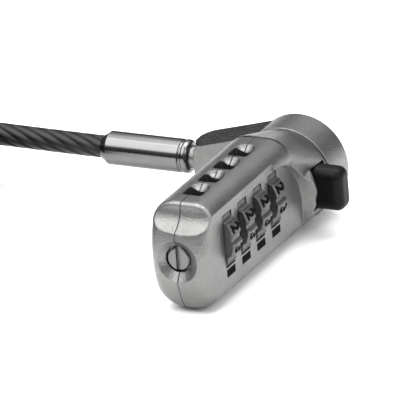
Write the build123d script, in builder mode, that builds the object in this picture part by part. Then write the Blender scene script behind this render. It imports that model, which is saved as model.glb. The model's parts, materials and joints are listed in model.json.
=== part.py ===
from build123d import *
from math import cos, pi, radians, sin, tan
import os

# A cable lock for laptops: a die-cast housing with four number dials, a push button and a
# T-shaped locking bar, on a steel cable that swivels round the housing's head.
# Millimetres. +Y is the way the locking bar points, +X is the side with the dials and the
# button, +Z is up. The origin is the middle of the rubber pad that meets the laptop.

# Housing
tip_y = -56.8  # furthest point of the domed end
housing_end = -8.25  # where the two shells stop and the swivel collar begins
right_side = 7.1
left_side = -6.2
top_z = 12.4
bottom_z = -9.1
top_corner = 4.6
bottom_corner = 5.6
nose_radius = 20.0  # the domed end is part of a ball of this radius
nose_x = 1.2  # which is centred a little towards the dials
nose_round = 3.7  # and is rounded into the sides by this much
scoop_radius = 4.5  # the hollow across the top of the end
scoop_y = -57.2
scoop_z = 11.9
scoop_round = 0.8  # its lower lip is rounded by this much
facet_x = 6.4  # the flat side that the dials stand out of
facet_round = 11.5  # radius of the facet's far end
facet_round_y = -26.45
facet_round_z = -2.6
neck_start = -19.15  # from here the housing becomes round
neck_radius = 9.35
facet_wall = 1.0  # how far the facet's end wall leans back
facet_cut = 5.0  # depth of the facet's cutter
boss_step = 0.1  # the boss is this much smaller than the neck
seam = 0.07  # half the seam between the shells
beyond = 20.0  # a length that reaches past the housing's sides

# Dials
dial_z = 3.2
dial_x = 1.6
dial_pitch = 6.56
dial_radius = 6.9
dial_width = 3.6
dial_gap = 0.15
first_dial = -46.3
dial_places = [first_dial + dial_pitch * i for i in range(4)]
rim_notches = 10
notch_radius = 1.0
notch_reach = 0.35  # how far outside the rim a notch is centred
number_turn = 22.0  # the number that shows is turned up by this angle
sleeve_radius = 3.4
shaft_radius = 1.5
fit = 0.05
chamber_room = 0.2  # between a dial's rim and its chamber
dial_edge = 0.35
gate_half = 0.5  # the notch in a code sleeve
gate_floor = 2.4
shaft_over = 4.0  # the shaft runs this far past the middles of the end dials
end_room = 0.1

# Leaf spring under the dials
leaf_x = 1.0
leaf_z = -4.65
leaf_width = 3.6
leaf_sheet = 0.4
leaf_start = -49.9
leaf_stop = -23.6
dimple_base = 0.9
dimple_tip = 0.5
dimple_height = 0.55
dimple_room = 0.25

# Windows over the dials, each with a hollow at its end towards the head
window_left = -1.6
window_right = 2.5
window_near = 2.35  # from a dial's middle to its window's two ends
window_far = 1.85
hollow_radius = 2.3
hollow_back = 0.35  # from the window's far edge back to the hollow's middle
hollow_lift = 1.3  # height of the hollow's centre above the top
window_corner = 0.7

# Reset screw and dowels
screw_y = -55.15
screw_z = 1.9
screw_radius = 2.35
screw_shank = 1.8
screw_head = 1.15
screw_long = 3.1
screw_edge = 0.25
screw_slot = 1.0
screw_slot_depth = 0.7
screw_room = 0.3
screw_end_room = 0.1
dish_step = 0.9  # from the screw's face out to the middle of the dish
dish_depth = 2.0
dish_reach = 2.9  # how much wider the dish is than the screw
dowel_radius = 0.8
dowel_half = 4.0
dowel_places = [(-50.4, 9.4), (-50.0, -7.2), (-18.6, 8.6), (-18.9, -6.8)]

# Head
collar_radius = 9.55
collar_round = 0.35
collar_edge = 0.12
collar_room = 0.1  # between the collar and the web
boss_back = -14.4
boss_start = -19.8
boss_start_radius = 6.9
hub_back = -17.0
hub_front = -0.6
flange_back = -1.9
spring_back = -21.3
spindle_back = -21.0
spring_room = 3.2
spring_radius = 2.35
spring_wire = 0.25
spring_pitch = 0.7
spring_long = 2.45
spring_start = -20.0
clip_back = -20.55
clip_front = -20.25
clip_radius = 2.3
clip_gap = 1.8
groove_room = 0.05  # the spindle's groove is this much wider than the clip, each side
groove_radius = 1.2
pin_x = 2.4
pin_back = -3.0
pin_radius = 0.7
pin_front = 1.7
bar_neck = 1.3  # radius of the bar's neck, in the laptop's wall
bar_neck_start = 0.4
bar_back = 2.1
bar_front = 3.9
bar_width = 2.7
bar_length = 6.6
bar_corner = 0.5
bar_edge = 0.3
collar_back = -8.1
collar_front = -0.4
hub_radius = 6.1
hub_neck = 5.2  # behind the button the hub is thinner, with a rim that the shells hold
hub_rim = 5.9
hub_rim_wide = 1.45
hub_shoulder = -14.2
flange_radius = 7.2
pad_step = 0.2  # the pad is this much smaller than the flange, with an edge cut as wide
pad_hole = 3.6
spindle_radius = 1.5
button_y = -11.4
button_width = 4.9
button_height = 8.6
fork_height = 6.4  # the button's inner end, which slides across the hub
fork_start = 4.8
button_end = 14.1
button_side_round = 2.0
button_end_round = 1.7
button_bottom = -2.4  # inner end of the button's fork
button_room = 0.12
fork_throat = 4.4  # bottom of the fork's slot
fork_room = 0.15  # between the fork and the spindle
wide_slot = 2.0  # from here out the hub's slot takes the button's full height

# Cable end
cable_diameter = 4.4
cable_y = -4.75
strap_width = 6.2
strap_sheet = 0.8
strap_slope = 15.0
strap_tangent = 9.1  # the strap's outer faces are tangent to this radius
strap_end = -19.8
ferrule_radius = 3.3
ferrule_near = -21.3
ferrule_far = -39.9
ferrule_lead = 1.4  # length of the taper where the cable goes in
ferrule_mouth = 2.45  # radius at the taper's end
ferrule_depth = 12.5
ferrule_round = 0.9
crimp_back = 1.6  # from the ferrule's near end to its crimp groove
crimp_wire = 0.45
crimp_lift = 0.15
neck_run = 2.0  # how far the neck runs into the web
neck_thick = 2.2
web_width = 4.9
web_gap = 0.84  # from the strap's outer face to the web
tongue_end = -20.0
tongue_slant = 0.9
strap_round = 2.4
web_end = -8.5
route = [(-27.4, -4.75, 0), (-50, -4.75, 0), (-80, -4.75, 0.6)]
coil_x = -86.0
coil_radii = [22.0, 26.4, 30.8]
coil_y = cable_y - coil_radii[2]
coil_floor = bottom_z
loop_ferrule_length = 11.0
loop_ferrule_z = 6.9
tie_angle = 215.0
tie_width = 4.8
tie_sheet = 0.9
tie_proud = 0.3
loop_ferrule_width = 10.2
loop_ferrule_height = 5.6
loop_ferrule_edge = 0.3
loop_wires = 2.3  # the eye's two wires leave the ferrule this far either side of its middle
eye_half = 9.0
eye_neck = 7.0
eye_length = 24.0
eye_round = 8.0
bed_half = 12.0  # the flat on the coil's top where the eye lies

os.makedirs("parts", exist_ok=True)


def rod(radius, start, end, x=0, z=0, mode=Mode.ADD):
    """A cylinder along Y."""
    with Locations(Location((x, (start + end) / 2, z), (90, 0, 0))):
        Cylinder(radius, end - start, mode=mode)


def bar(radius, start, end, y=0, z=0, mode=Mode.ADD):
    """A cylinder along X."""
    with Locations(Location(((start + end) / 2, y, z), (0, 90, 0))):
        Cylinder(radius, end - start, mode=mode)


def block(x, y, z, mode=Mode.ADD):
    """A box between pairs of limits."""
    with Locations(((x[0] + x[1]) / 2, (y[0] + y[1]) / 2, (z[0] + z[1]) / 2)):
        Box(x[1] - x[0], y[1] - y[0], z[1] - z[0], mode=mode)


def save(piece, name):
    """Labels a finished piece and writes its file."""
    piece.part.label = name
    export_step(piece.part, f"parts/{name}.step")


def strap_height(x):
    """Height of the strap's outer face at x, on a line tangent to a circle round the head."""
    slope = radians(strap_slope)
    return (strap_tangent + x * sin(slope)) / cos(slope)


def leg_outline(side, left):
    """One leg of the strap seen along Y, from its tangent point out to x = left."""
    slope = radians(strap_slope)
    right = -strap_tangent * sin(slope)
    sheet = strap_sheet / cos(slope)
    with BuildSketch() as outline:
        with BuildLine():
            Polyline(
                (left, side * strap_height(left)),
                (right, side * strap_height(right)),
                (right, side * (strap_height(right) - sheet)),
                (left, side * (strap_height(left) - sheet)),
                close=True,
            )
        make_face()
    return outline.sketch


# ---------------------------------------------------------------- housing, outside
# The cross-section is a rounded rectangle with larger corners at the top.
with BuildSketch() as cross_section:
    with Locations(((left_side + right_side) / 2, (top_z + bottom_z) / 2)):
        Rectangle(right_side - left_side, top_z - bottom_z)
    fillet(cross_section.vertices().group_by(Axis.Y)[-1], top_corner)
    fillet(cross_section.vertices().group_by(Axis.Y)[0], bottom_corner)

with BuildPart() as nose:
    # the straight stretch, its end cut to a shallow dome and rounded into the sides
    with BuildSketch(Plane.XZ.offset(-neck_start)):
        add(cross_section.sketch)
    extrude(amount=neck_start - tip_y)
    with Locations((nose_x, tip_y + nose_radius, screw_z)):
        Sphere(nose_radius, mode=Mode.INTERSECT)
    end_face = nose.faces().filter_by(GeomType.SPHERE).sort_by(Axis.Y)[0]
    fillet(end_face.edges(), nose_round)
    # the hollow across the top of the end
    bar(scoop_radius, -beyond, beyond, scoop_y, scoop_z, Mode.SUBTRACT)
    scoop_face = nose.faces().filter_by(GeomType.CYLINDER).filter_by_position(
        Axis.Y, tip_y - 1, scoop_y + scoop_radius
    ).sort_by(Axis.Z)[-1]
    fillet(scoop_face.edges().sort_by(Axis.Z)[0], scoop_round)

with BuildPart() as outside:
    add(nose.part)
    # the neck, from the cross-section to the round head
    with BuildSketch(Plane.XZ.offset(-neck_start)):
        add(cross_section.sketch)
    with BuildSketch(Plane.XZ.offset(-housing_end)):
        RectangleRounded(2 * neck_radius, 2 * neck_radius, neck_radius - 0.05)
    loft(ruled=True)
    # the round boss that the button comes out of
    boss_radius = neck_radius - boss_step
    rod(boss_radius, boss_back, housing_end)
    with Locations(Location((0, (boss_start + boss_back) / 2, 0), (-90, 0, 0))):
        Cone(boss_start_radius, boss_radius, boss_back - boss_start)
    # the flat side, which ends in an arc with a leaning wall
    with Locations(Location((facet_x + facet_cut / 2, facet_round_y, facet_round_z), (0, 90, 0))):
        Cone(facet_round, facet_round + 2 * facet_wall, facet_cut, mode=Mode.SUBTRACT)
    block((facet_x, facet_x + facet_cut), (tip_y - 1, facet_round_y), (-beyond, beyond), Mode.SUBTRACT)

# ---------------------------------------------------------------- housing, inside
with BuildPart() as housing:
    add(outside.part)
    for y in dial_places:
        half = dial_width / 2 + dial_gap
        # the dial's round chamber, open through the flat side
        rod(dial_radius + chamber_room, y - half, y + half, dial_x, dial_z, Mode.SUBTRACT)
        # the window over the dial
        with BuildSketch(Plane.XY.offset(dial_z)):
            with Locations(((window_left + window_right) / 2, y + (window_far - window_near) / 2)):
                RectangleRounded(window_right - window_left, window_near + window_far, window_corner)
        extrude(amount=beyond, mode=Mode.SUBTRACT)
        # the thumbnail-shaped hollow at the window's end towards the head
        middle = (window_left + window_right) / 2
        with Locations((middle, y + window_far - hollow_back, top_z + hollow_lift)):
            Sphere(hollow_radius, mode=Mode.SUBTRACT)
    # bore of the dial shaft, the leaf spring's bed, and the reset screw's stepped bore and dish
    low, high = dial_places[0] - shaft_over - end_room, dial_places[3] + shaft_over + end_room
    rod(shaft_radius + fit, low, high, dial_x, dial_z, Mode.SUBTRACT)
    half = leaf_width / 2 + end_room
    block(
        (leaf_x - half, leaf_x + half),
        (leaf_start - end_room, leaf_stop + end_room),
        (leaf_z - leaf_sheet / 2 - fit, leaf_z + leaf_sheet / 2 + dimple_height + dimple_room),
        Mode.SUBTRACT,
    )
    rod(screw_radius + screw_room, tip_y - 1, screw_y + screw_head + fit, 0, screw_z, Mode.SUBTRACT)
    rod(screw_shank + fit, screw_y, screw_y + screw_long + screw_end_room, 0, screw_z, Mode.SUBTRACT)
    with Locations(Location((0, screw_y - dish_step, screw_z), (90, 0, 0))):
        Cone(screw_radius + screw_room, screw_radius + dish_reach, dish_depth, mode=Mode.SUBTRACT)
    # the hub's seat, its rear rim, and room for the return spring
    rod(hub_radius + fit, hub_shoulder, housing_end + 1, mode=Mode.SUBTRACT)
    rod(hub_neck + fit, hub_back, hub_shoulder, mode=Mode.SUBTRACT)
    rod(hub_rim + fit, hub_back, hub_back + hub_rim_wide + fit, mode=Mode.SUBTRACT)
    rod(spring_room, spring_back, hub_back, mode=Mode.SUBTRACT)
    # the button's opening
    block(
        (0, beyond),
        (button_y - button_width / 2 - button_room, button_y + button_width / 2 + button_room),
        (-button_height / 2 - button_room, button_height / 2 + button_room),
        Mode.SUBTRACT,
    )
    # holes for the dowels
    for y, z in dowel_places:
        bar(dowel_radius, -dowel_half, dowel_half, y, z, Mode.SUBTRACT)

with BuildPart() as left_shell:
    add(housing.part)
    block((-seam, beyond), (tip_y - 1, 0), (-beyond, beyond), Mode.SUBTRACT)
save(left_shell, "left_shell")

with BuildPart() as right_shell:
    add(housing.part)
    block((-beyond, seam), (tip_y - 1, 0), (-beyond, beyond), Mode.SUBTRACT)
save(right_shell, "right_shell")

with BuildPart() as shell_dowels:
    for y, z in dowel_places:
        bar(dowel_radius, -dowel_half, dowel_half, y, z)
save(shell_dowels, "shell_dowels")

# ---------------------------------------------------------------- dials
for number, y in enumerate(dial_places, start=1):
    low, high = y - dial_width / 2, y + dial_width / 2
    with BuildPart() as dial:
        rod(dial_radius, low, high, dial_x, dial_z)
        chamfer(dial.edges().filter_by(GeomType.CIRCLE), dial_edge)
        rod(sleeve_radius, low - 1, high + 1, dial_x, dial_z, Mode.SUBTRACT)
        # notches between the ten numbers
        for k in range(rim_notches):
            turn = radians(360 / rim_notches * (k + 0.5) + number_turn)
            x = dial_x + (dial_radius + notch_reach) * cos(turn)
            z = dial_z + (dial_radius + notch_reach) * sin(turn)
            rod(notch_radius, low - 1, high + 1, x, z, Mode.SUBTRACT)
    save(dial, f"dial_{number}")

    with BuildPart() as sleeve:
        rod(sleeve_radius - 0.01, low, high, dial_x, dial_z)
        rod(shaft_radius + fit, low - 1, high + 1, dial_x, dial_z, Mode.SUBTRACT)
        # the gate that lines up when the right number shows
        block(
            (dial_x - dial_radius, dial_x - gate_floor),
            (low - 1, high + 1),
            (dial_z - gate_half, dial_z + gate_half),
            Mode.SUBTRACT,
        )
    save(sleeve, f"code_sleeve_{number}")

with BuildPart() as dial_shaft:
    rod(shaft_radius, dial_places[0] - shaft_over, dial_places[3] + shaft_over, dial_x, dial_z)
save(dial_shaft, "dial_shaft")

# A leaf spring lies under the dials, with a dimple at each one.
with BuildPart() as detent_leaf:
    with Locations((leaf_x, (leaf_start + leaf_stop) / 2, leaf_z)):
        Box(leaf_width, leaf_stop - leaf_start, leaf_sheet)
    for y in dial_places:
        with Locations((dial_x, y, leaf_z + leaf_sheet / 2)):
            Cone(dimple_base, dimple_tip, dimple_height, align=(Align.CENTER, Align.CENTER, Align.MIN))
save(detent_leaf, "detent_leaf")

with BuildPart() as reset_screw:
    rod(screw_radius, screw_y, screw_y + screw_head, 0, screw_z)
    chamfer(reset_screw.edges().filter_by(GeomType.CIRCLE).sort_by(Axis.Y)[0], screw_edge)
    rod(screw_shank, screw_y + screw_head / 2, screw_y + screw_long, 0, screw_z)
    with Locations((0, screw_y, screw_z)):
        Box(screw_slot, 2 * screw_slot_depth, 3 * screw_radius, mode=Mode.SUBTRACT)
save(reset_screw, "reset_screw")

# ---------------------------------------------------------------- head
with BuildPart() as swivel_collar:
    rod(collar_radius, collar_back, collar_front)
    fillet(swivel_collar.edges().filter_by(GeomType.CIRCLE).sort_by(Axis.Y)[-1], collar_round)
    chamfer(swivel_collar.edges().filter_by(GeomType.CIRCLE).sort_by(Axis.Y)[0], collar_edge)
    rod(hub_radius + fit, collar_back - 1, collar_front + 1, mode=Mode.SUBTRACT)
    rod(flange_radius + fit, flange_back, collar_front + 1, mode=Mode.SUBTRACT)
    # seats for the strap's two legs
    for side in (1, -1):
        with BuildSketch(Plane.XZ.offset(-(cable_y + strap_width / 2))):
            add(leg_outline(side, strap_end - 3))
        extrude(amount=strap_width, mode=Mode.SUBTRACT)
save(swivel_collar, "swivel_collar")

with BuildPart() as hub:
    rod(hub_radius, hub_shoulder, flange_back)
    rod(hub_neck, hub_back, hub_shoulder)
    rod(hub_rim, hub_back, hub_back + hub_rim_wide)
    rod(flange_radius, flange_back, hub_front)
    # the bore of the spindle and the slot that the button's fork slides in
    rod(spindle_radius + fit, hub_back - 1, hub_front + 1, mode=Mode.SUBTRACT)
    low, high = button_y - button_width / 2 - fit, button_y + button_width / 2 + fit
    block((-beyond, beyond), (low, high), (-fork_height / 2 - fit, fork_height / 2 + fit), Mode.SUBTRACT)
    half = button_height / 2 + fit
    block((wide_slot, beyond), (low, high), (-half, half), Mode.SUBTRACT)
    # holes of the two guard pins
    for x in (-pin_x, pin_x):
        rod(pin_radius, pin_back, hub_front + 1, x, 0, Mode.SUBTRACT)
save(hub, "hub")

with BuildPart() as rubber_pad:
    rod(flange_radius - pad_step, hub_front, 0)
    chamfer(rubber_pad.edges().filter_by(GeomType.CIRCLE).sort_by(Axis.Y)[-1], pad_step)
    rod(pad_hole, hub_front - 1, 1, mode=Mode.SUBTRACT)
save(rubber_pad, "rubber_pad")

with BuildPart() as guard_pins:
    for x in (-pin_x, pin_x):
        rod(pin_radius, pin_back, pin_front, x, 0)
save(guard_pins, "guard_pins")

with BuildPart() as locking_bar:
    rod(spindle_radius, spindle_back, bar_neck_start)
    rod(bar_neck, bar_neck_start, bar_back)
    # the cross head, as tall as the slot in the laptop is wide
    with BuildSketch(Plane.XZ.offset(-bar_front)):
        RectangleRounded(bar_width, bar_length, bar_corner)
    extrude(amount=bar_front - bar_back)
    chamfer(locking_bar.faces().sort_by(Axis.Y)[-1].edges(), bar_edge)
    # the groove that the clip sits in
    low, high = clip_back - groove_room, clip_front + groove_room
    rod(spindle_radius + 1, low, high, mode=Mode.SUBTRACT)
    rod(groove_radius, low - groove_room, high + groove_room)
save(locking_bar, "locking_bar")

with BuildPart() as spindle_clip:
    rod(clip_radius, clip_back, clip_front)
    rod(groove_radius + fit, clip_back - 1, clip_front + 1, mode=Mode.SUBTRACT)
    block((-clip_gap / 2, clip_gap / 2), (clip_back - 1, clip_front + 1), (-beyond, 0), Mode.SUBTRACT)
save(spindle_clip, "spindle_clip")

with BuildPart() as return_spring:
    with BuildLine() as coil_line:
        Helix(spring_pitch, spring_long, spring_radius, center=(0, spring_start, 0), direction=(0, 1, 0))
    with BuildSketch(Plane(coil_line.line @ 0, z_dir=coil_line.line % 0)):
        Circle(spring_wire)
    sweep(is_frenet=True)
save(return_spring, "return_spring")

with BuildPart() as button:
    low, high = button_y - button_width / 2, button_y + button_width / 2
    block((fork_start, button_end), (low, high), (-button_height / 2, button_height / 2))
    fillet(button.edges().filter_by(Axis.X), button_side_round)
    fillet(button.faces().sort_by(Axis.X)[-1].edges(), button_end_round)
    # the fork that straddles the spindle
    block((button_bottom, fork_start), (low, high), (-fork_height / 2, fork_height / 2))
    fork = spindle_radius + fork_room
    block((button_bottom - 1, fork_throat), (low - 1, high + 1), (-fork, fork), Mode.SUBTRACT)
save(button, "button")

# ---------------------------------------------------------------- cable end
with BuildPart() as swivel_strap:
    # two legs that leave the collar at a tangent, their far corners rounded
    for side in (1, -1):
        with BuildSketch(Plane.XZ.offset(-(cable_y + strap_width / 2))):
            add(leg_outline(side, strap_end))
        extrude(amount=strap_width)
    far_faces = swivel_strap.faces().filter_by(Plane.YZ).group_by(Axis.X)[0]
    fillet(far_faces.edges().filter_by(Axis.Z), strap_round)
save(swivel_strap, "swivel_strap")

with BuildPart() as swivel_tongue:
    bar(neck_thick, ferrule_near, tongue_end + neck_run, cable_y)
    # the web between the strap's legs
    with BuildSketch(Plane.XZ.offset(-(cable_y + web_width / 2))):
        with BuildLine():
            inner_a = strap_height(tongue_end) - web_gap
            inner_b = strap_height(web_end) - web_gap
            Polyline(
                (tongue_end, inner_a - tongue_slant),
                (tongue_end + tongue_slant, strap_height(tongue_end + tongue_slant) - web_gap),
                (web_end, inner_b),
                (web_end, -inner_b),
                (tongue_end + tongue_slant, web_gap - strap_height(tongue_end + tongue_slant)),
                (tongue_end, tongue_slant - inner_a),
                close=True,
            )
        make_face()
    extrude(amount=web_width)
    rod(collar_radius + collar_room, -beyond, beyond, mode=Mode.SUBTRACT)
save(swivel_tongue, "swivel_tongue")

with BuildPart() as ferrule:
    bar(ferrule_radius, ferrule_far + ferrule_lead, ferrule_near, cable_y)
    with Locations(Location((ferrule_far + ferrule_lead / 2, cable_y, 0), (0, 90, 0))):
        Cone(ferrule_mouth, ferrule_radius, ferrule_lead)
    fillet(ferrule.edges().filter_by(GeomType.CIRCLE).sort_by(Axis.X)[-1], ferrule_round)
    # the groove of the crimp, and the bore that the cable goes into
    with Locations(Location((ferrule_near - crimp_back, cable_y, 0), (0, 90, 0))):
        Torus(ferrule_radius + crimp_lift, crimp_wire, mode=Mode.SUBTRACT)
    bar(cable_diameter / 2, ferrule_far - 1, ferrule_far + ferrule_depth, cable_y, 0, Mode.SUBTRACT)
save(ferrule, "ferrule")


def arc_radii(points):
    """The largest even bend at each corner of a route: 0.45 of the shorter run, over tan(half the turn)."""
    radii = []
    for before, here, after in zip(points, points[1:], points[2:]):
        first, second = Vector(*here) - Vector(*before), Vector(*after) - Vector(*here)
        turn = radians(first.get_angle(second))
        radii.append(0.45 * min(first.length, second.length) / tan(turn / 2))
    return radii


bends = arc_radii(route)
print("cable bends", [round(r, 1) for r in bends])
with BuildPart() as cable:
    with BuildLine() as cable_path:
        FilletPolyline(*route, radius=bends)
    with BuildSketch(Plane.YZ.offset(route[0][0])):
        with Locations((cable_y, 0)):
            Circle(cable_diameter / 2)
    sweep()
section = pi * cable_diameter**2 / 4
print("cable volume", cable.part.volume, "section x length", section * cable_path.wires()[0].length)
save(cable, "cable")

# ---------------------------------------------------------------- stowed cable and its far end
radius = cable_diameter / 2
inner, outer = coil_radii[0] - radius, coil_radii[2] + radius
shoulder, top = coil_floor + 3 * cable_diameter, coil_floor + 4 * cable_diameter
tie_direction = (cos(radians(tie_angle)), sin(radians(tie_angle)), 0)
tie_plane = Plane(
    origin=(coil_x, coil_y, 0),
    x_dir=tie_direction,
    z_dir=(tie_direction[1], -tie_direction[0], 0),
)
coil_center = Plane(origin=(coil_x, coil_y, 0), x_dir=(1, 0, 0), z_dir=(0, -1, 0))
ferrule_start = coil_x
ferrule_stop = coil_x - loop_ferrule_length
loop_y = coil_y + coil_radii[0] + loop_wires

# The tie goes round the bundle's outline, and the bundle is pinched by the tie's thickness.
with BuildSketch() as tie_outline:
    with BuildLine():
        Polyline(
            (inner - tie_proud, coil_floor),
            (outer + tie_proud, coil_floor),
            (outer + tie_proud, shoulder),
            (inner + cable_diameter, top + tie_proud),
            (inner - tie_proud, top + tie_proud),
            close=True,
        )
    make_face()
with BuildSketch() as pinched_outline:
    add(tie_outline.sketch)
    offset(amount=-tie_sheet, mode=Mode.REPLACE)

with BuildPart() as cable_tie:
    with BuildSketch(tie_plane):
        add(tie_outline.sketch)
        add(pinched_outline.sketch, mode=Mode.SUBTRACT)
    extrude(amount=tie_width / 2, both=True)
save(cable_tie, "cable_tie")

with BuildPart() as loop_ferrule:
    with BuildSketch(Plane.YZ.offset(ferrule_stop)):
        with Locations((loop_y, loop_ferrule_z)):
            SlotOverall(loop_ferrule_width, loop_ferrule_height)
    extrude(amount=loop_ferrule_length)
    for end in (0, -1):
        chamfer(loop_ferrule.faces().sort_by(Axis.X)[end].edges(), loop_ferrule_edge)
save(loop_ferrule, "loop_ferrule")

with BuildPart() as anchor_loop:
    with BuildLine():
        FilletPolyline(
            (ferrule_stop, loop_y + loop_wires, loop_ferrule_z),
            (ferrule_stop - eye_neck, loop_y + eye_half, loop_ferrule_z),
            (ferrule_stop - eye_length, loop_y + eye_half, loop_ferrule_z),
            (ferrule_stop - eye_length, loop_y - eye_half, loop_ferrule_z),
            (ferrule_stop - eye_neck, loop_y - eye_half, loop_ferrule_z),
            (ferrule_stop, loop_y - loop_wires, loop_ferrule_z),
            radius=eye_round,
        )
    leaving = (-eye_neck, eye_half - loop_wires, 0)
    with BuildSketch(Plane(origin=(ferrule_stop, loop_y + loop_wires, loop_ferrule_z), z_dir=leaving)):
        Circle(radius)
    sweep()
    # nothing of the wires reaches into the ferrule
    block(
        (ferrule_stop, ferrule_stop + loop_ferrule_length),
        (loop_y - eye_half, loop_y + eye_half),
        (0, beyond),
        Mode.SUBTRACT,
    )
save(anchor_loop, "anchor_loop")

with BuildPart() as cable_coil:
    with BuildSketch(coil_center):
        with BuildLine():
            Polyline(
                (inner, coil_floor),
                (outer, coil_floor),
                (outer, shoulder),
                (inner + cable_diameter, shoulder),
                (inner + cable_diameter, top),
                (inner, top),
                close=True,
            )
        make_face()
    revolve(axis=Axis((coil_x, coil_y, 0), (0, 0, 1)))
    # the pinch under the tie
    with BuildSketch(tie_plane):
        with Locations(((inner + outer) / 2, 0)):
            Rectangle(2 * beyond, 3 * beyond)
        add(pinched_outline.sketch, mode=Mode.SUBTRACT)
    extrude(amount=tie_width / 2 + 0.05, both=True, mode=Mode.SUBTRACT)
    # room for the loop and its ferrule where they lie on the turns
    block(
        (ferrule_stop - 2 * beyond, ferrule_start),
        (loop_y - bed_half, loop_y + bed_half),
        (shoulder, beyond),
        Mode.SUBTRACT,
    )
save(cable_coil, "cable_coil")
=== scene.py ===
import json
from math import cos, pi, radians, sin

import bmesh
import bpy
from mathutils import Matrix, Vector


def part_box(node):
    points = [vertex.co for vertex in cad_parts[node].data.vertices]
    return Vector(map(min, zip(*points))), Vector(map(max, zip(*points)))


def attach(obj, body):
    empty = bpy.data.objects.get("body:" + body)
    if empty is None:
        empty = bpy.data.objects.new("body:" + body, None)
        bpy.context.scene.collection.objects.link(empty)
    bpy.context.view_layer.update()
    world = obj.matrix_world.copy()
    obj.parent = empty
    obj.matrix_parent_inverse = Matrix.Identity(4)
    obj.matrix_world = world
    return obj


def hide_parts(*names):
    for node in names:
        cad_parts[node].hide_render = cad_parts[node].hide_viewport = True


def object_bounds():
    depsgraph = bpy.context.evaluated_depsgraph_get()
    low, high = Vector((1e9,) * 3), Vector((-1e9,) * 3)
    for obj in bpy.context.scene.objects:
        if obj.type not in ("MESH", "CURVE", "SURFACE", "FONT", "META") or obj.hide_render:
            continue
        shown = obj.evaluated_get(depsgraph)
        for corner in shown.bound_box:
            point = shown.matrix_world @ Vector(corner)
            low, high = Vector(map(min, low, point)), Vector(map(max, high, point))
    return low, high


# A laptop cable lock, with its cable coiled and put away beside it.
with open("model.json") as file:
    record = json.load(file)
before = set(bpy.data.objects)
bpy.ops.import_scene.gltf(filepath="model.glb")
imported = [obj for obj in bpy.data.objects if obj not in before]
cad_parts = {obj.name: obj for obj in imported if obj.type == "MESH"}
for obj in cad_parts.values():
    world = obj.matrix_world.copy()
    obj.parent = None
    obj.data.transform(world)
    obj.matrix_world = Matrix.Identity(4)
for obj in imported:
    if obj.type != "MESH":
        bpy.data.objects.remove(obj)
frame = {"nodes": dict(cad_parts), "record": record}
cad_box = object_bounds()
nodes = frame["nodes"]
mm = 0.001

# ------------------------------------------------------------------ camera
AZIMUTH, ELEVATION, ROLL = radians(27.4), radians(22.5), radians(4.7)
back = Vector((sin(AZIMUTH) * cos(ELEVATION), -cos(AZIMUTH) * cos(ELEVATION), sin(ELEVATION))).normalized()
level = Vector((cos(AZIMUTH), sin(AZIMUTH), 0))
upright = back.cross(level)
cam_x = level * cos(ROLL) - upright * sin(ROLL)
cam_y = upright * cos(ROLL) + level * sin(ROLL)
screw_low, screw_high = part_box("reset_screw")
screw_centre = Vector((0, screw_low[1], (screw_low[2] + screw_high[2]) / 2))
RIGHT_OF_SCREW, ABOVE_SCREW = 5.56 * mm, 9.64 * mm
aim = screw_centre + cam_x * RIGHT_OF_SCREW + cam_y * ABOVE_SCREW
distance = 3.3
LENS_PER_METRE = 508 / 1.1  # keeps the framing at any distance
camera = bpy.data.objects.new("camera", bpy.data.cameras.new("camera"))
bpy.context.scene.collection.objects.link(camera)
camera.data.sensor_width = 36
camera.data.lens = distance * LENS_PER_METRE
camera.data.clip_end = 20
camera.matrix_world = Matrix.Translation(aim + back * distance) @ Matrix(
    ((cam_x.x, cam_y.x, back.x), (cam_x.y, cam_y.y, back.y), (cam_x.z, cam_y.z, back.z))
).to_4x4()
bpy.context.scene.camera = camera

# ------------------------------------------------------------------ cable line
# The route out of the ferrule, then ten turns of the coil, each point an even step on.
CABLE = 4.4 * mm
route = [(-27.4, -4.75, 0), (-50, -4.75, 0), (-80, -4.75, 0.6)]
coil_x, coil_y = -86.0, -35.55
turns = [(30.8, 1.9), (30.8, -2.5), (30.8, -6.9), (26.4, -6.9), (22.0, -6.9)]
turns += [(22.0, -2.5), (26.4, -2.5), (26.4, 1.9), (22.0, 1.9), (22.0, 6.3)]
STEPS = 16
SHIFT = 60  # a turn moves to its new radius and height over this many degrees
swell = 1.019  # the spline runs inside its points by this much


def ease(t):
    """A smooth step from 0 to 1."""
    t = min(1.0, max(0.0, t))
    return t * t * (3 - 2 * t)


points = [Vector(p) for p in route]
for k, (radius, height) in enumerate(turns):
    last_radius, last_height = turns[max(k - 1, 0)]
    for step in range(STEPS):
        if k == 0 and step == 0:
            continue
        turn = 360 / STEPS * step
        share = ease(turn / SHIFT)
        r = (last_radius + (radius - last_radius) * share) * swell
        z = last_height + (height - last_height) * share
        if k == 0:
            z = route[-1][2] + (height - route[-1][2]) * share
        a = radians(90 + turn)
        points.append(Vector((coil_x + r * cos(a), coil_y + r * sin(a), z)))
r, z = turns[-1]
points.append(Vector((coil_x, coil_y + r, z)))
INTO_FERRULE = 4  # the cable's last stretch, inside the eye's ferrule
points.append(Vector((coil_x - INTO_FERRULE, coil_y + r, z)))


def nurbs(name, points):
    """A smooth open curve with these control points, in millimetres."""
    curve = bpy.data.curves.new(name, "CURVE")
    curve.dimensions = "3D"
    curve.resolution_u = 10
    spline = curve.splines.new("NURBS")
    spline.points.add(len(points) - 1)
    for slot, p in zip(spline.points, points):
        slot.co = (p[0] * mm, p[1] * mm, p[2] * mm, 1)
    spline.order_u = 3
    spline.use_endpoint_u = True
    return curve


def line_of(curve):
    """The points that the curve's own line passes through."""
    carrier = bpy.data.objects.new("carrier", curve)
    bpy.context.scene.collection.objects.link(carrier)
    bpy.context.view_layer.update()
    mesh = bpy.data.meshes.new_from_object(carrier)
    line = [v.co.copy() for v in mesh.vertices]
    bpy.data.meshes.remove(mesh)
    bpy.data.objects.remove(carrier)
    return line


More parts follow.
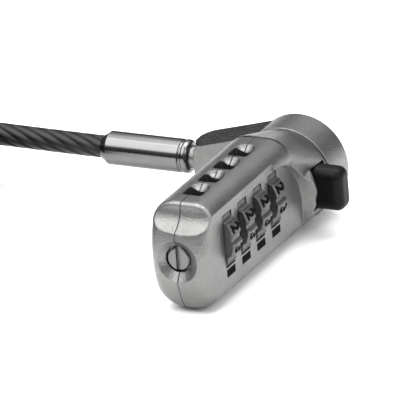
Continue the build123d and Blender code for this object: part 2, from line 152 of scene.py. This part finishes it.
def even(line, step):
    """The same line in even steps."""
    spans = [(b - a).length for a, b in zip(line, line[1:])]
    total = sum(spans)
    count = max(2, int(total / step))
    result, i, gone = [], 0, 0.0
    for k in range(count + 1):
        want = total * k / count
        while i < len(spans) - 1 and gone + spans[i] < want:
            gone += spans[i]
            i += 1
        t = (want - gone) / spans[i] if spans[i] else 0
        result.append(line[i].lerp(line[i + 1], min(1.0, max(0.0, t))))
    return result


def new_object(name, mesh, material=None, smooth=True):
    """An object in the scene made of this mesh."""
    obj = bpy.data.objects.new(name, mesh)
    bpy.context.scene.collection.objects.link(obj)
    if material:
        mesh.materials.append(material)
    if smooth:
        for polygon in mesh.polygons:
            polygon.use_smooth = True
    return obj


STRANDS = 8
EVERY = 0.9 * mm  # length of the tube's steps
LAY = 28 * mm  # one strand's whole turn round the cable
AROUND = 36
VALLEY = 0.015  # share of the radius that the sleeve dips between strands


def tube(name, line, radius, material):
    """A cable with the slight swell of its strands, and the strand angle and length along it as a UV map."""
    line = even(line, EVERY)
    normal = Vector((0, 0, 1))
    vertices, arcs, gone = [], [], 0.0
    for i, p in enumerate(line):
        ahead = line[min(i + 1, len(line) - 1)] - line[max(i - 1, 0)]
        ahead.normalize()
        normal = (normal - ahead * normal.dot(ahead)).normalized()
        side = ahead.cross(normal)
        if i:
            gone += (p - line[i - 1]).length
        arcs.append(gone)
        for j in range(AROUND):
            a = 2 * pi * j / AROUND
            lobe = abs(cos(STRANDS / 2 * (a - 2 * pi * gone / LAY)))
            r = radius * (1 - VALLEY + VALLEY * lobe)
            vertices.append(p + (normal * cos(a) + side * sin(a)) * r)
    faces, coords = [], []
    for i in range(len(line) - 1):
        for j in range(AROUND):
            k = (j + 1) % AROUND
            faces.append((i * AROUND + j, i * AROUND + k, (i + 1) * AROUND + k, (i + 1) * AROUND + j))
            u0, u1 = j / AROUND, (j + 1) / AROUND
            v0, v1 = arcs[i] / LAY, arcs[i + 1] / LAY
            coords += [(u0, v0), (u1, v0), (u1, v1), (u0, v1)]
    faces.append(tuple(range(AROUND))[::-1])
    faces.append(tuple((len(line) - 1) * AROUND + j for j in range(AROUND)))
    coords += [(0, 0)] * (2 * AROUND)
    mesh = bpy.data.meshes.new(name)
    mesh.from_pydata(vertices, [], faces)
    layer = mesh.uv_layers.new(name="lay")
    layer.data.foreach_set("uv", [c for uv in coords for c in uv])
    mesh.update()
    return new_object(name, mesh, material), line


# ------------------------------------------------------------------ materials
def material(name, **values):
    """A material with these values on its shader, with its node tree and that shader."""
    m = bpy.data.materials.new(name)
    m.use_nodes = True
    tree = m.node_tree
    shader = tree.nodes["Principled BSDF"]
    for key, value in values.items():
        shader.inputs[key.replace("_", " ")].default_value = value
    return m, tree, shader


def add(tree, kind, **values):
    """A node with these properties or inputs."""
    node = tree.nodes.new(kind)
    for key, value in values.items():
        if hasattr(node, key):
            setattr(node, key, value)
        else:
            node.inputs[key.replace("_", " ")].default_value = value
    return node


def place(tree, scale=1.0):
    """The object's own coordinates in metres, times a scale that may differ by axis."""
    where = add(tree, "ShaderNodeTexCoord")
    mapping = add(tree, "ShaderNodeMapping")
    mapping.inputs["Scale"].default_value = scale if hasattr(scale, "__len__") else (scale,) * 3
    tree.links.new(where.outputs["Object"], mapping.inputs["Vector"])
    return mapping.outputs["Vector"]


def scaled(shade, by):
    """A colour times a number."""
    return tuple(c * by for c in shade)


def noise(tree, vector, scale, detail, rough):
    """Noise at these coordinates."""
    node = add(tree, "ShaderNodeTexNoise", Scale=scale, Detail=detail, Roughness=rough)
    tree.links.new(vector, node.inputs["Vector"])
    return node.outputs["Fac"]


def ramp(tree, value, stops):
    """value turned into a colour or grey by these (position, grey or colour) stops."""
    node = add(tree, "ShaderNodeValToRGB")
    band = node.color_ramp
    while len(band.elements) < len(stops):
        band.elements.new(0.5)
    for element, (position, shade) in zip(band.elements, stops):
        element.position = position
        colour = shade if hasattr(shade, "__len__") else (shade,) * 3
        element.color = (*colour, 1)
    tree.links.new(value, node.inputs["Fac"])
    return node.outputs["Color"]


def mix(tree, factor, a, b, blend="MIX"):
    """Two colours mixed. The factor and each colour may be a value or another node's output."""
    node = add(tree, "ShaderNodeMix", data_type="RGBA", blend_type=blend)
    for socket, value in ((0, factor), (6, a), (7, b)):
        if hasattr(value, "is_output"):
            tree.links.new(value, node.inputs[socket])
        elif hasattr(value, "__len__"):
            node.inputs[socket].default_value = (*value, 1)
        else:
            node.inputs[socket].default_value = value
    return node.outputs[2]


def bump(tree, height, strength, distance, under=None):
    """A normal bumped by this height, on top of another normal if one is given."""
    node = add(tree, "ShaderNodeBump", Strength=strength, Distance=distance)
    tree.links.new(height, node.inputs["Height"])
    if under:
        tree.links.new(under, node.inputs["Normal"])
    return node.outputs["Normal"]


def rounded_edges(tree, radius):
    """The normal with sharp edges rounded by this radius."""
    soft = add(tree, "ShaderNodeBevel", samples=4)
    soft.inputs["Radius"].default_value = radius
    return soft.outputs["Normal"]


def cast_metal(name, shade, metallic, roughness, bevel, mottle):
    """Satin die-cast zinc: fine pits, a faint mottle and edges polished by handling."""
    m, tree, shader = material(name, Metallic=metallic)
    where = place(tree)
    fine = noise(tree, where, 2600, 3, 0.6)
    wide = noise(tree, where, 180, 5, 0.6)
    tone = ramp(tree, wide, [(0.3, scaled(shade, 1 - mottle)), (0.7, scaled(shade, 1 + mottle))])
    pits = ramp(tree, fine, [(0.35, 0.0), (0.75, 0.45)])
    tree.links.new(mix(tree, pits, tone, scaled(shade, 0.8)), shader.inputs["Base Color"])
    rough = ramp(tree, fine, [(0.3, roughness - 0.05), (0.7, roughness + 0.08)])
    tree.links.new(rough, shader.inputs["Roughness"])
    normal = bump(tree, wide, 0.35, 0.0001, rounded_edges(tree, bevel))
    tree.links.new(bump(tree, fine, 0.8, 0.00013, normal), shader.inputs["Normal"])
    return m


def polished_metal(name, shade, roughness, bevel, streak):
    """Plated or turned steel, with fine marks along one direction."""
    m, tree, shader = material(name, Metallic=1.0)
    where = place(tree, streak)
    marks = noise(tree, where, 1.0, 4, 0.6)
    wide = noise(tree, place(tree), 220, 3, 0.5)
    tone = ramp(tree, wide, [(0.3, scaled(shade, 0.9)), (0.7, shade)])
    tree.links.new(tone, shader.inputs["Base Color"])
    rough = ramp(tree, marks, [(0.3, roughness), (0.7, roughness + 0.08)])
    tree.links.new(rough, shader.inputs["Roughness"])
    tree.links.new(bump(tree, marks, 0.12, 0.00002, rounded_edges(tree, bevel)), shader.inputs["Normal"])
    return m


def moulded(name, shade, roughness, bevel, grain, gloss=0.3):
    """Black moulded plastic or rubber with a fine grain and a little dust in it."""
    m, tree, shader = material(name, Specular_IOR_Level=gloss)
    where = place(tree)
    fine = noise(tree, where, grain, 3, 0.6)
    wide = noise(tree, where, 150, 4, 0.6)
    dust = ramp(tree, wide, [(0.3, shade * 0.75), (0.75, shade * 1.6)])
    tree.links.new(dust, shader.inputs["Base Color"])
    rough = ramp(tree, fine, [(0.3, roughness - 0.06), (0.7, roughness + 0.08)])
    tree.links.new(rough, shader.inputs["Roughness"])
    tree.links.new(bump(tree, fine, 0.4, 0.00004, rounded_edges(tree, bevel)), shader.inputs["Normal"])
    return m


def arithmetic(tree, operation, *values):
    """An arithmetic node's result. Its values are numbers or other nodes' outputs."""
    node = add(tree, "ShaderNodeMath", operation=operation)
    for socket, value in enumerate(values):
        if hasattr(value, "is_output"):
            tree.links.new(value, node.inputs[socket])
        else:
            node.inputs[socket].default_value = value
    return node.outputs[0]


def ridges(tree, twist, count):
    """This many even ridges round the cable, from 0 in the valleys to 1 on the crests."""
    waves = arithmetic(tree, "MULTIPLY", twist, count * pi)
    return arithmetic(tree, "ABSOLUTE", arithmetic(tree, "COSINE", waves))


WIRES = 7  # in each strand


def sleeve():
    """Smoky clear vinyl over twisted strands: the strands shape the base, with painted shade in the valleys
    between them, and the vinyl coats it smoothly.
    """
    m, tree, shader = material("cable_sleeve", Specular_IOR_Level=0.22)
    for name, value in (("Coat Weight", 0.12), ("Coat Roughness", 0.3), ("Coat IOR", 1.45)):
        shader.inputs[name].default_value = value
    uv = add(tree, "ShaderNodeUVMap", uv_map="lay")
    split = add(tree, "ShaderNodeSeparateXYZ")
    tree.links.new(uv.outputs["UV"], split.inputs["Vector"])
    twist = arithmetic(tree, "SUBTRACT", split.outputs["X"], split.outputs["Y"])
    lobe = ridges(tree, twist, STRANDS)
    fine_lobe = ridges(tree, twist, STRANDS * WIRES)
    height = arithmetic(tree, "MULTIPLY_ADD", fine_lobe, 0.08, lobe)
    # painted shade: the base colour darkens into the valleys between the strands and lightens on their
    # crests
    tone = ramp(tree, lobe, [(0.0, 0.001), (0.3, 0.003), (0.65, 0.010), (1.0, 0.018)])
    dust = noise(tree, place(tree), 500, 4, 0.6)
    # real dust noise multiplied over the painted shade of the strands
    dust_and_strand_shade = mix(tree, 0.35, tone, ramp(tree, dust, [(0.3, 0.2), (0.7, 1.0)]), "MULTIPLY")
    tree.links.new(dust_and_strand_shade, shader.inputs["Base Color"])
    tree.links.new(ramp(tree, dust, [(0.3, 0.34), (0.7, 0.46)]), shader.inputs["Roughness"])
    tree.links.new(bump(tree, height, 0.9, 0.00035), shader.inputs["Normal"])
    return m


zinc = cast_metal("cast_zinc", (0.185, 0.185, 0.182), 0.96, 0.32, 0.0003, 0.11)
# painted shade: the dials are the housing's cast zinc made darker, for the shade of the recess they turn in
shaded_dial_zinc = cast_metal("shaded_dial_zinc", (0.11, 0.11, 0.108), 0.95, 0.34, 0.00015, 0.06)
dark_steel = polished_metal("dark_strap_steel", (0.035, 0.035, 0.037), 0.22, 0.00012, (120, 900, 120))
nickel = polished_metal("nickel_plate", (0.16, 0.16, 0.16), 0.13, 0.0002, (60, 900, 900))
steel = polished_metal("turned_steel", (0.16, 0.16, 0.163), 0.32, 0.00012, (900, 80, 900))
brass = polished_metal("turned_brass", (0.70, 0.55, 0.28), 0.3, 0.0001, (900, 80, 900))
black_plastic = moulded("button_plastic", 0.0015, 0.42, 0.00025, 1500, 0.12)
tie_plastic = moulded("tie_nylon", 0.03, 0.5, 0.0002, 900)
rubber = moulded("pad_rubber", 0.035, 0.72, 0.00015, 2200)
paint = moulded("mark_paint", 0.002, 0.7, 0.00003, 3000, 0.03)
cable_look = sleeve()

finish = {
    "zinc": zinc,
    "dial_metal": shaded_dial_zinc,
    "strap_steel": dark_steel,
    "ferrule_steel": nickel,
    "steel": steel,
    "brass": brass,
    "button_plastic": black_plastic,
    "tie_plastic": tie_plastic,
    "pad_rubber": rubber,
    "sleeve_vinyl": cable_look,
}
for part in frame["record"]["subparts"]:
    node = nodes[part["node"]]
    if part["material_slot"] in finish:
        for slot in node.material_slots:
            slot.material = finish[part["material_slot"]]

# ------------------------------------------------------------------ cable
cable_line = line_of(nurbs("cable_line", points))
cable, cable_path = tube("cable_whole", cable_line, CABLE / 2, cable_look)
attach(cable, "cable_end")
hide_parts("cable", "cable_coil")

# the eye at the far end, out of its ferrule and back into it
low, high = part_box("loop_ferrule")
eye_y, eye_z, eye_x = (low[1] + high[1]) / 2 / mm, (low[2] + high[2]) / 2 / mm, low[0] / mm
half_eye = [(3, 2.3), (-1, 2.5), (-7, 7.6), (-13.5, 9.9), (-20, 9.3), (-24, 6), (-24.7, 2)]
half_loop = [(eye_x + x, eye_y + y) for x, y in half_eye]
loop_points = [(x, y, eye_z) for x, y in half_loop]
loop_points += [(x, 2 * eye_y - y, eye_z) for x, y in reversed(half_loop)]
EYE_FIT = 0.98  # the eye is drawn this much thinner than the cable, to clear its ferrule
eye, _ = tube("eye_loop", line_of(nurbs("eye_line", loop_points)), CABLE / 2 * EYE_FIT, cable_look)
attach(eye, "cable_end")
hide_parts("anchor_loop")

# ------------------------------------------------------------------ digits and marks
dial_nodes = [f"dial_{i}" for i in range(1, 5)]
DIGIT_TALL, DIGIT_WIDE = 3.05 * mm, 2.7 * mm
DIGIT_BOLD = 0.05
SHOWN, SHOWN_TURN = 2, 22  # the number that faces out, and how far up it is turned, in degrees
DIGIT_CUTS = 0.12  # each digit is cut into strips this wide, so that it bends round the rim
PAINT = 0.04 * mm  # thickness


def flat_text(body):
    """The mesh of one digit, centred, one unit tall."""
    curve = bpy.data.curves.new("digit", "FONT")
    curve.body = body
    curve.size = 1.0
    curve.resolution_u = 3
    curve.offset = DIGIT_BOLD
    carrier = bpy.data.objects.new("digit", curve)
    bpy.context.scene.collection.objects.link(carrier)
    bpy.context.view_layer.update()
    mesh = bpy.data.meshes.new_from_object(carrier)
    bpy.data.objects.remove(carrier)
    xs = [v.co.x for v in mesh.vertices]
    ys = [v.co.y for v in mesh.vertices]
    tall = max(ys) - min(ys)
    for v in mesh.vertices:
        v.co.x = (v.co.x - (max(xs) + min(xs)) / 2) / tall
        v.co.y = (v.co.y - (max(ys) + min(ys)) / 2) / tall
    return mesh


def painted(obj):
    """A flat piece given the thickness of paint."""
    thick = obj.modifiers.new("thick", "SOLIDIFY")
    thick.thickness = PAINT
    thick.offset = 0
    return obj


def digit_band(name, centre, radius, y_mid):
    """The ten numbers round a dial's rim, each wrapped onto it, in one mesh."""
    whole = bmesh.new()
    for k in range(10):
        mesh = flat_text(str(k))
        part = bmesh.new()
        part.from_mesh(mesh)
        bpy.data.meshes.remove(mesh)
        for cut in range(-4, 5):
            bmesh.ops.bisect_plane(
                part,
                geom=part.verts[:] + part.edges[:] + part.faces[:],
                plane_co=(cut * DIGIT_CUTS, 0, 0),
                plane_no=(1, 0, 0),
            )
        middle = radians(36 * (SHOWN - k) + SHOWN_TURN)
        for v in part.verts:
            # a number's top points along +Y and its left edge upwards
            angle = middle - v.co.x * DIGIT_WIDE / radius
            y = y_mid + v.co.y * DIGIT_TALL
            v.co = Vector((centre[0] + radius * cos(angle), y, centre[1] + radius * sin(angle)))
        mesh = bpy.data.meshes.new("part")
        part.to_mesh(mesh)
        part.free()
        whole.from_mesh(mesh)
        bpy.data.meshes.remove(mesh)
    mesh = bpy.data.meshes.new(name)
    whole.to_mesh(mesh)
    whole.free()
    return painted(new_object(name, mesh, paint))


for i, node in enumerate(dial_nodes):
    low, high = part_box(node)
    centre = ((low[0] + high[0]) / 2, (low[2] + high[2]) / 2)
    radius = (high[0] - low[0]) / 2
    y_mid = (low[1] + high[1]) / 2
    digits = digit_band(f"digits_{i + 1}", centre, radius + 0.01 * mm, y_mid)
    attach(digits, node)


def patch(name, x, y, z, half_y, half_z, round_off):
    """A thin painted mark on the flat side, with rounded corners."""
    outline = []
    for sy, sz, start in ((1, 1, 0), (-1, 1, 90), (-1, -1, 180), (1, -1, 270)):
        for step in range(5):
            a = radians(start + 22.5 * step)
            across = y + sy * (half_y - round_off) + round_off * cos(a)
            up = z + sz * (half_z - round_off) + round_off * sin(a)
            outline.append((x, across, up))
    mesh = bpy.data.meshes.new(name)
    mesh.from_pydata(outline, [], [tuple(range(len(outline)))])
    return painted(new_object(name, mesh, paint, smooth=False))


FLAT_SIDE = 6.4 * mm
BELOW_DIAL = 6.5 * mm  # from a dial's middle down to its mark
MARK = (1.78 * mm, 0.76 * mm, 0.12 * mm)  # half its length and height, and its corners
for i, node in enumerate(dial_nodes):
    low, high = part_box(node)
    below = (low[2] + high[2]) / 2 - BELOW_DIAL
    mark = patch(f"mark_{i + 1}", FLAT_SIDE, (low[1] + high[1]) / 2, below, *MARK)
    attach(mark, "housing")

# ------------------------------------------------------------------ stage and light
stage_middle = Vector((0, -0.03, cad_box[0][2]))


def floor():
    """A wide round floor of pale paper."""
    rings, vertices, faces = [0.2, 0.5, 1.0, 1.6], [stage_middle], []
    sides = 64
    for ring in rings:
        for j in range(sides):
            a = 2 * pi * j / sides
            vertices.append(stage_middle + Vector((ring * cos(a), ring * sin(a), 0)))
    for j in range(sides):
        k = (j + 1) % sides
        faces.append((0, 1 + j, 1 + k))
        for i in range(len(rings) - 1):
            near, far = 1 + i * sides, 1 + (i + 1) * sides
            faces.append((near + j, far + j, far + k, near + k))
    mesh = bpy.data.meshes.new("floor_paper")
    mesh.from_pydata(vertices, [], faces)
    m, tree, shader = material("studio_paper", Roughness=0.9)
    shade = ramp(tree, noise(tree, place(tree), 4, 2, 0.5), [(0.2, 0.93), (0.8, 0.95)])
    tree.links.new(shade, shader.inputs["Base Color"])
    return new_object("floor_paper", mesh, m)


floor()


def area(name, where, size, power):
    """A soft lamp that points at the lock."""
    lamp = bpy.data.lights.new(name, "AREA")
    lamp.shape = "RECTANGLE"
    lamp.size, lamp.size_y = size
    lamp.energy = power
    obj = bpy.data.objects.new(name, lamp)
    bpy.context.scene.collection.objects.link(obj)
    obj.location = where
    obj.rotation_euler = (Vector((0, stage_middle.y, 0)) - Vector(where)).to_track_quat("-Z", "Y").to_euler()
    return obj


area("key", (-0.5, -0.6, 1.0), (1.2, 1.0), 13)
area("side", (0.9, -0.2, 0.45), (0.5, 0.7), 5)
area("top", (0.0, 0.25, 1.1), (1.1, 0.8), 14)

# A soft room: bright overhead and dim near the horizon. The camera itself sees plain white.
world = bpy.data.worlds.new("world")
bpy.context.scene.world = world
world.use_nodes = True
sky = world.node_tree
split = add(sky, "ShaderNodeSeparateXYZ")
sky.links.new(add(sky, "ShaderNodeTexCoord").outputs["Generated"], split.inputs["Vector"])
glow = ramp(sky, split.outputs["Z"], [(0.0, 0.05), (0.25, 0.09), (0.42, 0.24), (0.7, 1.0)])
seen = mix(sky, add(sky, "ShaderNodeLightPath").outputs["Is Camera Ray"], glow, (1.0, 1.0, 1.0))
sky.links.new(seen, sky.nodes["Background"].inputs["Color"])
sky.nodes["Background"].inputs["Strength"].default_value = 1.35
bpy.context.scene.view_settings.view_transform = "Standard"
